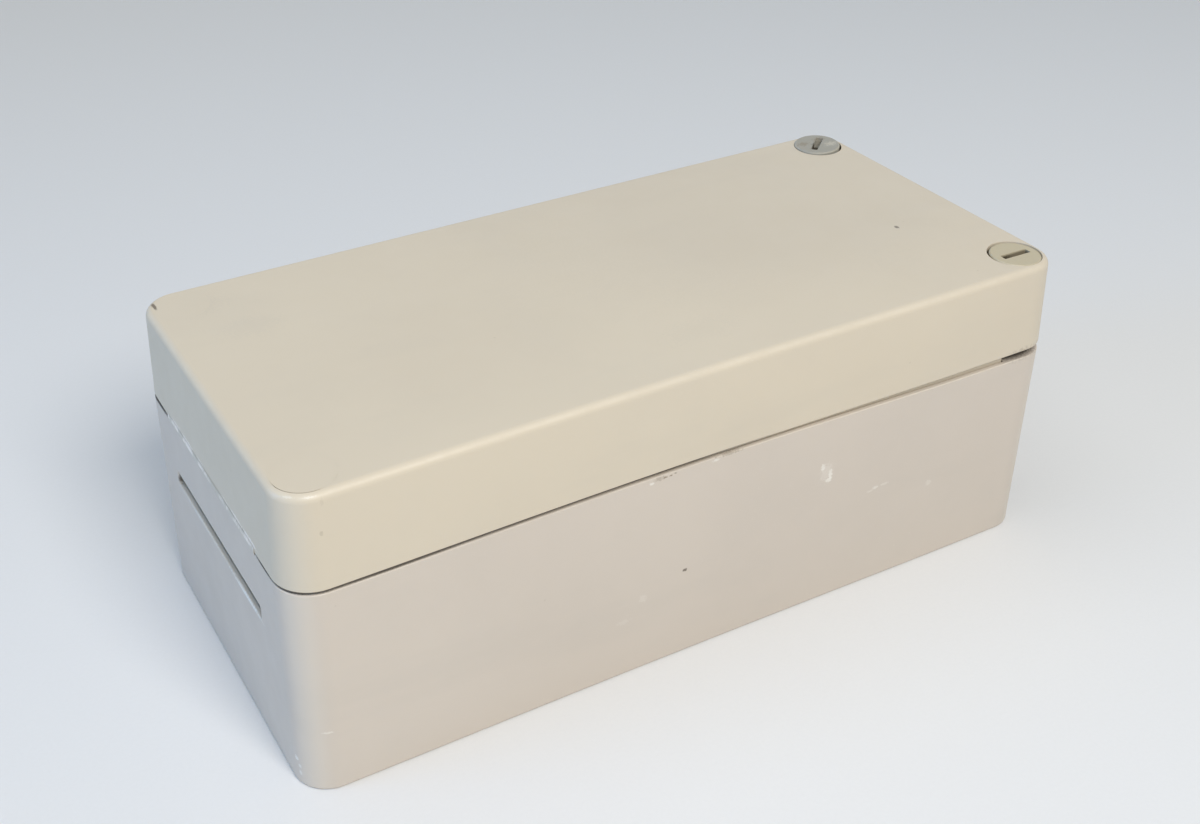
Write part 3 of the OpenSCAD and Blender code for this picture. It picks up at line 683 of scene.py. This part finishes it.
class EnclosureColours(bpy.types.PropertyGroup):
    """Colours of the finishes."""

    lid: tint("Lid plastic", "Plastic of the lid", (0.655, 0.583, 0.462))
    base: tint("Base plastic", "Plastic of the base", (0.62, 0.555, 0.48))
    front_screw: tint("Front screw plastic", "Plastic of the front lid screw", (0.53, 0.472, 0.335))
    rear_screw: tint("Rear screw plastic", "Plastic of the rear lid screw", (0.345, 0.335, 0.29))
    strap: tint("Strap plastic", "Plastic of the hinge strap", (0.62, 0.57, 0.48))
    crease: tint("Crease", "Whitened plastic along the hinge", (0.95, 0.86, 0.76))
    # Colour of worn plastic on scratches and edges, also the painted highlight on rounded edges and
    # upright corners.
    rubbed_and_highlight: tint("Rubbed plastic", "Plastic on edges and scratches", (0.8, 0.74, 0.62))
    # Colour of chipped plastic, also the painted highlight along the end slot's lower rim.
    chip_and_highlight: tint("Chipped plastic", "Plastic where it is chipped", (0.88, 0.86, 0.8))
    # Grey haze of handling, also used as the painted shade that darkens the lid's top towards its
    # back right.
    haze: tint("Haze", "Grey haze of handling", (0.47, 0.44, 0.39))
    soil: tint("Dirt", "Brown dirt in the seam", (0.2, 0.15, 0.09))
    # Black-brown colour of dirt deep in gaps, also used as painted shade where gaps and recesses
    # are dark.
    grime_and_shade: tint("Grime", "Black-brown dirt deep in gaps", (0.045, 0.034, 0.022))
    # Colour of dirt in the end slot, also the painted shade inside it.
    slot_dirt_and_shade: tint("Slot dirt", "Grey dirt in the end slot", (0.46, 0.47, 0.42))
    # Colour of dark pits, also the painted shade in the rear cap's open gap.
    pit_and_shade: tint("Pit", "Dark pits", (0.1, 0.075, 0.05))
    gasket: tint("Gasket", "Foam rubber", (0.022, 0.022, 0.023))
    steel: tint("Steel", "Plated steel", (0.56, 0.57, 0.58))
    zinc: tint("Galvanised steel", "Galvanised sheet", (0.6, 0.62, 0.63))
    brass: tint("Brass", "Turned brass", (0.7, 0.53, 0.25))
    floor: tint("Floor", "Floor of the studio", (0.79, 0.8, 0.81))


# Placing

def swing_to_rest(piece):
    """Moves a piece from the closed lid to where the gasket holds the lid."""
    sizes = bpy.context.scene.enclosure_sizes
    hinge = Vector((-sizes.half_length, 0, sizes.hinge_z))
    turn = Matrix.Rotation(-sizes.lid_angle, 4, "Y")
    piece.data.transform(Matrix.Translation(hinge) @ turn @ Matrix.Translation(-hinge))


def sink_walls(piece, share):
    """Sinks the long walls inwards, the front one most, and lowers the front rims.

    share gives the sink's and the drop's part of their full amounts at each height."""
    sizes = bpy.context.scene.enclosure_sizes
    for vertex in piece.data.vertices:
        co = vertex.co
        sink, drop = share(co.z)
        reach = abs(co.x - sizes.sink_x) / sizes.sink_span
        if reach < 1:
            along = math.cos(reach * math.pi / 2) ** SINK_FALL
            side = 1 if co.y < 0 else BACK_SINK
            sink *= sizes.wall_sink * along * ramp(abs(co.y), *SINK_ACROSS) * side
            co.y -= math.copysign(sink, co.y)
        co.z -= sizes.front_drop * drop * ramp(-co.y, *DROP_ACROSS)


def base_sink(z):
    """Shares of the sink and the drop at a height on the base, most at its rim."""
    rise = z / bpy.context.scene.enclosure_sizes.hinge_z
    foot_sink, rim_drop = 0.29, 0.8
    return foot_sink + (1 - foot_sink) * rise ** 2, rim_drop * ramp(rise, 5 / 6, 1)


def lid_sink(z):
    """Shares of the sink and the drop on the lid, whose lip follows the base's rim."""
    sizes = bpy.context.scene.enclosure_sizes
    rise = (z - sizes.hinge_z) / (sizes.lid_top - sizes.hinge_z)
    if rise < 0:
        return 1.0, 1.0
    top_sink, more_at_rim = 0.37, 0.38
    return top_sink + more_at_rim * (1 - min(rise, 1)) ** 2, 1 - ramp(rise, 0.15, 0.65)


def round_slot(piece):
    """Rounds the rim of the slot in the base's end wall."""
    sizes = bpy.context.scene.enclosure_sizes
    edit_all(piece)
    bpy.ops.mesh.select_mode(type="EDGE")
    bpy.ops.mesh.select_all(action="DESELECT")
    activate(piece)
    mesh = piece.data
    face = -sizes.half_length + 0.8 * MM
    near = 0.05 * MM
    half, rise = sizes.slot_half + near, sizes.slot_rise + near
    for edge in mesh.edges:
        ends = [mesh.vertices[i].co for i in edge.vertices]
        edge.select = all(
            co.x < face and abs(co.y) < half and abs(co.z - sizes.slot_z) < rise for co in ends
        )
    bpy.ops.object.mode_set(mode="EDIT")
    bpy.ops.mesh.bevel(offset=sizes.slot_rim, segments=3, affect="EDGES")
    bpy.ops.mesh.select_mode(type="VERT")
    activate(piece)


def shell(node, name, body, levels, share, material):
    """A shell of the box: the CAD shape with its edges softened and its long walls sunk."""
    sizes = bpy.context.scene.enclosure_sizes
    piece = refined_node(node, name)
    if node == "base":
        round_slot(piece)
    soften_edges(piece, sizes.edge_softness)
    divide(piece, 0, STATIONS)
    divide(piece, 2, levels)
    sink_walls(piece, share)
    clear_slivers(piece)
    smooth(piece)
    settle(piece, body, material, "moulded_plastic", node)


class EnclosureOperator(bpy.types.Operator):
    """What the enclosure's operators have in common."""

    bl_options = {"REGISTER"}


class ENCLOSURE_OT_base_shell(EnclosureOperator):
    """Model the base with its sunk walls and worn plastic"""

    bl_idname = "enclosure.base_shell"
    bl_label = "Base shell"

    def execute(self, context):
        sizes = context.scene.enclosure_sizes
        # The base's rim is darkened where the lid meets it: dirt, and painted shade in the seam's
        # gap.
        dirt = {
            "direction": (0, 0, 1), "level": sizes.hinge_z - SEAM_HALF,
            "fade": -0.1 * MM, "full": 0.0, "amount": 0.92, "along": SEAM_SHADE_AND_DIRT,
        }
        plastic = moulded_plastic(
            "base plastic", context.scene.enclosure_colours.base, BASE_MARKS, 0.4, 0.4, dirt
        )
        shell("base", "base_shell", "base", BASE_LEVELS, base_sink, plastic)
        return {"FINISHED"}


class ENCLOSURE_OT_lid_shell(EnclosureOperator):
    """Model the lid with its sunk walls and worn plastic"""

    bl_idname = "enclosure.lid_shell"
    bl_label = "Lid shell"

    def execute(self, context):
        sizes = context.scene.enclosure_sizes
        lean = math.tan(sizes.lid_angle)
        # The lid's rim and lip are darkened in the seam: dirt, and painted shade in the gap,
        # lighter towards the end that the lid lifts.
        dirt = {
            "direction": (-lean, 0, 1),
            "level": sizes.hinge_z + SEAM_HALF + lean * sizes.half_length,
            "fade": 0.06 * MM, "full": -0.06 * MM, "amount": 0.95, "along": SEAM_SHADE_AND_DIRT,
        }
        plastic = moulded_plastic(
            "lid plastic", context.scene.enclosure_colours.lid, LID_MARKS, 0.3, 0.18, dirt
        )
        shell("lid", "lid_shell", "lid", LID_LEVELS, lid_sink, plastic)
        return {"FINISHED"}


class ENCLOSURE_OT_film_hinge(EnclosureOperator):
    """Model the strap whose film bends between the base and the lid"""

    bl_idname = "enclosure.film_hinge"
    bl_label = "Film hinge"

    def execute(self, context):
        sizes = context.scene.enclosure_sizes
        hinge, spacing, flat_rise = sizes.hinge_z, 0.06 * MM, 1.3 * MM
        skin = -sizes.half_length - 0.03 * MM
        bulge = skin - 0.08 * MM
        slot_face = -sizes.half_length + 1 * MM
        piece = refined_node("hinge_strap", "film_hinge")
        soften_edges(piece, 0.06 * MM)
        divide(piece, 2, [hinge + step * spacing for step in range(-4, 5)])
        divide(piece, 0, [skin, bulge])
        for vertex in piece.data.vertices:
            co = vertex.co
            if co.x < (skin + bulge) / 2:
                rise = (co.z - hinge) * sizes.crease_spread
                flat = ramp(abs(rise), 0, flat_rise) ** 2
                co.x += (skin - co.x) * 0.9 * flat
                co.z = hinge + rise + sizes.crease_lift
            elif co.x < slot_face and abs(co.z - sizes.slot_z) < sizes.slot_rise:
                co.x -= sizes.slot_fill
        clear_slivers(piece)
        smooth(piece)
        settle(piece, None, strap_plastic("strap plastic"), "strap_plastic", "hinge_strap")
        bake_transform(piece)
        return {"FINISHED"}


class ENCLOSURE_OT_lid_screws(EnclosureOperator):
    """Model the quarter-turn lid screws with their driver slots"""

    bl_idname = "enclosure.lid_screws"
    bl_label = "Lid screws"

    def execute(self, context):
        sizes = context.scene.enclosure_sizes
        colours = context.scene.enclosure_colours
        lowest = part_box("front_lid_screw")[0].z
        lean = math.tan(sizes.lid_angle)
        level = sizes.lid_top + lean * sizes.half_length
        for side, name, turn, colour, marks, amount in (
            (-1, "front", 0, colours.front_screw, FRONT_SCREW_MARKS, 0.6),
            (1, "rear", 40, colours.rear_screw, REAR_SCREW_MARKS, 0.3),
        ):
            # Darkens each screw from a little below the lid's top downwards, in its slot and bore.
            dirt = {
                "direction": (-lean, 0, 1), "level": level,
                "fade": -0.3 * MM, "full": -0.9 * MM, "amount": amount,
            }
            material = moulded_plastic(
                f"{name} screw plastic", colour, marks, 1.0, 0.35, dirt, shine=0.2
            )
            piece = self.screw(sizes, f"{name}_lid_screw_head", lowest)
            piece.data.transform(Matrix.Rotation(math.radians(turn), 4, "Z"))
            self.lean_head(piece, sizes, side)
            piece.data.transform(Matrix.Translation((sizes.corner_x, side * sizes.corner_y, 0)))
            swing_to_rest(piece)
            smooth(piece)
            settle(piece, f"{name}_screw", material, "screw_plastic", f"{name}_lid_screw")
        return {"FINISHED"}

    def lean_head(self, piece, sizes, side):
        """Tips and shifts a screw's head, and lifts the rear one, with the shank on its axis."""
        top, seat = sizes.lid_top, sizes.lid_top - sizes.head_height
        lift = sizes.proud if side > 0 else 0
        place = Matrix.Translation(Vector((0, 0, top + lift)) + side * HEAD_SHIFT)
        turn = Matrix.Rotation(-HEAD_LEAN * side, 4, "Y")
        lean = place @ turn @ Matrix.Translation((0, 0, -top - HEAD_SETTLE))
        for vertex in piece.data.vertices:
            if vertex.co.z > seat - 0.2 * MM:
                vertex.co = lean @ vertex.co

    def screw(self, sizes, name, lowest):
        """One screw on the Z axis: a slotted head on a shank with a groove for its clip."""
        top, head, shank = sizes.lid_top, sizes.lid_top - sizes.head_height, sizes.shank_radius
        wide, chamfer = sizes.head_radius, 0.4 * MM
        tip, taper = lowest + 0.2 * MM, 0.9 * MM
        groove_low, groove_high, groove = 85.5 * MM, 86.8 * MM, shank - 0.6 * MM
        stations = [
            (shank - taper, tip), (shank, tip + taper), (shank, groove_low), (groove, groove_low),
            (groove, groove_high), (shank, groove_high), (shank, head), (wide, head),
            (wide, top - chamfer), (wide - chamfer, top),
        ]
        piece = turned_piece(name, stations, 72)
        depth = sizes.slot_depth
        cutter = block(
            "slot cutter", (sizes.slot_length, sizes.slot_width, 2 * depth), (0, 0, top), 0.3 * MM
        )
        cut(piece, cutter)
        soften_edges(piece, 0.1 * MM)
        return piece


class ENCLOSURE_OT_corner_caps(EnclosureOperator):
    """Model the caps that close the bores at the hinge end"""

    bl_idname = "enclosure.corner_caps"
    bl_label = "Corner caps"

    def execute(self, context):
        sizes = context.scene.enclosure_sizes
        colour = context.scene.enclosure_colours.lid
        top = sizes.lid_top
        radius, stem, skirt = sizes.cap_radius, 3.75 * MM, sizes.cap_radius - 1.4 * MM
        web, seat, hollow = 86.65 * MM, 89.8 * MM, 92.2 * MM
        stations = [
            (stem - 0.5 * MM, web - 2 * MM), (stem + 0.3 * MM, web), (stem, web), (stem, hollow),
            (skirt, hollow), (skirt, seat), (radius, seat),
            (radius, top - 0.6 * MM), (radius, top - sizes.edge_softness), (radius, top),
        ]
        for side, name, middle, half, marks in (
            (-1, "front", 228, 38, ()), (1, "rear", 155, 8, REAR_CAP_MARKS),
        ):
            material = moulded_plastic(f"{name} cap plastic", colour, marks)
            piece = turned_piece(f"{name}_corner_cap_disc", stations, 96)
            self.fill_gap(piece, sizes, math.radians(middle), math.radians(half))
            piece.data.transform(Matrix.Translation((-sizes.corner_x, side * sizes.corner_y, 0)))
            swing_to_rest(piece)
            smooth(piece)
            settle(piece, "lid", material, "moulded_plastic", f"{name}_corner_cap")
        return {"FINISHED"}

    def fill_gap(self, piece, sizes, middle, half):
        """Spreads the cap's top edge to its bore's rim, but less round one angle."""
        top, softness, near = sizes.lid_top, sizes.edge_softness, 0.01 * MM
        for vertex in piece.data.vertices:
            co = vertex.co
            drop = top - co.z
            if drop < softness + near and co.xy.length > sizes.cap_radius - near:
                turn = abs((math.atan2(co.y, co.x) - middle + math.pi) % math.tau - math.pi)
                share = 0.4 + 0.6 * ramp(turn, half, half + 0.4)
                wide = sizes.bore_radius + (softness if drop < near else 0) - sizes.cap_radius
                co.xy *= 1 + share * wide / sizes.cap_radius


class ENCLOSURE_OT_gasket(EnclosureOperator):
    """Model the foam gasket on the base's shoulder"""

    bl_idname = "enclosure.gasket"
    bl_label = "Gasket"

    def execute(self, context):
        piece = refined_node("lid_gasket", "foam_gasket")
        soften_edges(piece, 0.3 * MM, 3)
        divide(piece, 0, STATIONS)
        sink_walls(piece, base_sink)
        smooth(piece)
        settle(piece, "base", foam_rubber("foam rubber"), "gasket_rubber", "lid_gasket")
        return {"FINISHED"}


class ENCLOSURE_OT_plate_screws(EnclosureOperator):
    """Model the cross-recessed screws that hold the mounting plate"""

    bl_idname = "enclosure.plate_screws"
    bl_label = "Plate screws"

    def execute(self, context):
        low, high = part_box("plate_screws")
        radius, thread, seat = 3.7 * MM, 1.95 * MM, high.z - 2.5 * MM
        stations = [
            (1.0 * MM, low.z), (thread, low.z + 1.2 * MM), (thread, seat), (radius, seat),
            (radius, seat + 0.8 * MM), (0.96 * radius, seat + 1.4 * MM),
            (0.84 * radius, seat + 1.95 * MM), (0.6 * radius, seat + 2.35 * MM),
            (0.3 * radius, high.z),
        ]
        first = turned_piece("plate_screws_crosshead", stations, 48)
        long, short, deep = 4.4 * MM, 0.95 * MM, 2.8 * MM
        for size in ((long, short, deep), (short, long, deep)):
            cut(first, block("recess cutter", size, (0, 0, high.z)))
        soften_edges(first, 0.07 * MM)
        span = (high - low) / 2 - Vector((radius, radius, 0))
        copies = []
        for x in (-1, 1):
            for y in (-1, 1):
                piece = first.copy()
                piece.data = first.data.copy()
                turn = Matrix.Rotation(0.5 * x + 0.9 * y, 4, "Z")
                piece.data.transform(Matrix.Translation((x * span.x, y * span.y, 0)) @ turn)
                context.scene.collection.objects.link(piece)
                copies.append(piece)
        bpy.data.objects.remove(first)
        activate(copies[0])
        for piece in copies:
            piece.select_set(True)
        bpy.ops.object.join()
        piece = context.object
        piece.name = "plate_screws_crosshead"
        smooth(piece)
        steel = plated_metal("plate screw steel", context.scene.enclosure_colours.steel)
        settle(piece, "base", steel, "steel", "plate_screws")
        return {"FINISHED"}


class ENCLOSURE_OT_metal_finishes(EnclosureOperator):
    """Give the pins, clips, sockets and the plate their metal finishes"""

    bl_idname = "enclosure.metal_finishes"
    bl_label = "Metal finishes"

    def execute(self, context):
        colours = context.scene.enclosure_colours
        steel = plated_metal("plated steel", colours.steel)
        brass = plated_metal("turned brass", colours.brass, tarnish=0.45)
        zinc = plated_metal("galvanised sheet", colours.zinc, spangle=0.5, tarnish=0.2)
        finishes = {"mounting_plate": zinc}
        for side in ("front", "rear"):
            finishes[f"{side}_cross_pin"] = steel
            finishes[f"{side}_screw_clip"] = steel
            finishes[f"{side}_bayonet_socket"] = brass
        for node, material in finishes.items():
            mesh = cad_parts[node].data
            mesh.materials.clear()
            mesh.materials.append(material)
        return {"FINISHED"}


class ENCLOSURE_OT_studio(EnclosureOperator):
    """Set up the floor, the lamps and the camera"""

    bl_idname = "enclosure.studio"
    bl_label = "Studio"

    def execute(self, context):
        scene = context.scene
        scene.view_settings.view_transform = "Standard"
        self.floor(scene)
        self.world(scene)
        for lamp in LAMPS:
            self.lamp(*lamp)
        camera = bpy.data.cameras.new("camera")
        camera.lens = CAMERA_LENS
        camera.sensor_width = 36.0
        camera.shift_x, camera.shift_y = CAMERA_SHIFT
        camera.clip_start = 0.01
        stand = bpy.data.objects.new("camera", camera)
        stand.location = CAMERA_PLACE
        stand.rotation_euler = [math.radians(angle) for angle in CAMERA_TURN]
        scene.collection.objects.link(stand)
        scene.camera = stand
        return {"FINISHED"}

    def floor(self, scene):
        """A wide floor of pale paper."""
        activate(None)
        bpy.ops.mesh.primitive_grid_add(x_subdivisions=2, y_subdivisions=2, size=8)
        floor = bpy.context.object
        floor.name = "floor"
        material, g, shader, coordinates = new_material("floor paper")
        place = coordinates["Object"]
        colour = (*scene.enclosure_colours.floor, 1)
        fibre = g.noise(place, 900.0, 3.0)
        darker = (*[c * 0.97 for c in colour[:3]], 1)
        g.feed(shader.inputs["Base Color"], g.mix(fibre, colour, darker))
        g.feed(shader.inputs["Roughness"], g.between(fibre, 0.2, 0.8, 0.85, 0.95))
        floor.data.materials.append(material)

    def world(self, scene):
        """A pale backdrop, with dimmer light from all round."""
        world = bpy.data.worlds.new("studio")
        scene.world = world
        world.use_nodes = True
        world.node_tree.nodes.clear()
        g = Graph(world.node_tree)
        ray = g.add("ShaderNodeLightPath").outputs
        seen = g.math("MAXIMUM", ray["Is Camera Ray"], ray["Is Transmission Ray"])
        seen = g.math("MAXIMUM", seen, ray["Is Glossy Ray"])
        ambient, backdrop = (
            g.add("ShaderNodeBackground", {"Color": colour, "Strength": strength}).outputs[0]
            for colour, strength in (AMBIENT, BACKDROP)
        )
        mixed = g.add("ShaderNodeMixShader", {0: seen, 1: ambient, 2: backdrop})
        output = g.add("ShaderNodeOutputWorld")
        g.feed(output.inputs["Surface"], mixed.outputs[0])

    def lamp(self, name, place, size, power, colour, spread):
        """A round lamp that is turned to the box."""
        data = bpy.data.lights.new(name, "AREA")
        data.shape = "DISK"
        data.size = size
        data.energy = power
        data.color = colour
        data.spread = math.radians(spread)
        lamp = bpy.data.objects.new(name, data)
        lamp.location = place
        lamp.rotation_euler = (LAMP_AIM - lamp.location).to_track_quat("-Z", "Y").to_euler()
        bpy.context.scene.collection.objects.link(lamp)


OPERATORS = (
    ENCLOSURE_OT_studio,
    ENCLOSURE_OT_base_shell,
    ENCLOSURE_OT_lid_shell,
    ENCLOSURE_OT_film_hinge,
    ENCLOSURE_OT_lid_screws,
    ENCLOSURE_OT_corner_caps,
    ENCLOSURE_OT_gasket,
    ENCLOSURE_OT_plate_screws,
    ENCLOSURE_OT_metal_finishes,
)


class ENCLOSURE_PT_sidebar(bpy.types.Panel):
    """Lists the enclosure's pieces, sizes and colours"""

    bl_label = "Enclosure"
    bl_idname = "ENCLOSURE_PT_sidebar"
    bl_space_type = "VIEW_3D"
    bl_region_type = "UI"
    bl_category = "Enclosure"

    def draw(self, context):
        for operator in OPERATORS:
            self.layout.operator(operator.bl_idname)
        for settings in (context.scene.enclosure_sizes, context.scene.enclosure_colours):
            box = self.layout.box()
            for key in settings.__annotations__:
                box.prop(settings, key)


CLASSES = (EnclosureSizes, EnclosureColours, *OPERATORS, ENCLOSURE_PT_sidebar)


def register():
    for cls in CLASSES:
        bpy.utils.register_class(cls)
    bpy.types.Scene.enclosure_sizes = bpy.props.PointerProperty(type=EnclosureSizes)
    bpy.types.Scene.enclosure_colours = bpy.props.PointerProperty(type=EnclosureColours)


def unregister():
    del bpy.types.Scene.enclosure_colours
    del bpy.types.Scene.enclosure_sizes
    for cls in reversed(CLASSES):
        bpy.utils.unregister_class(cls)


def main():
    """Builds the studio and every piece."""
    register()
    make_groups()
    for operator in OPERATORS:
        group, name = operator.bl_idname.split(".")
        getattr(getattr(bpy.ops, group), name)()


if __name__ == "__main__":
    main()
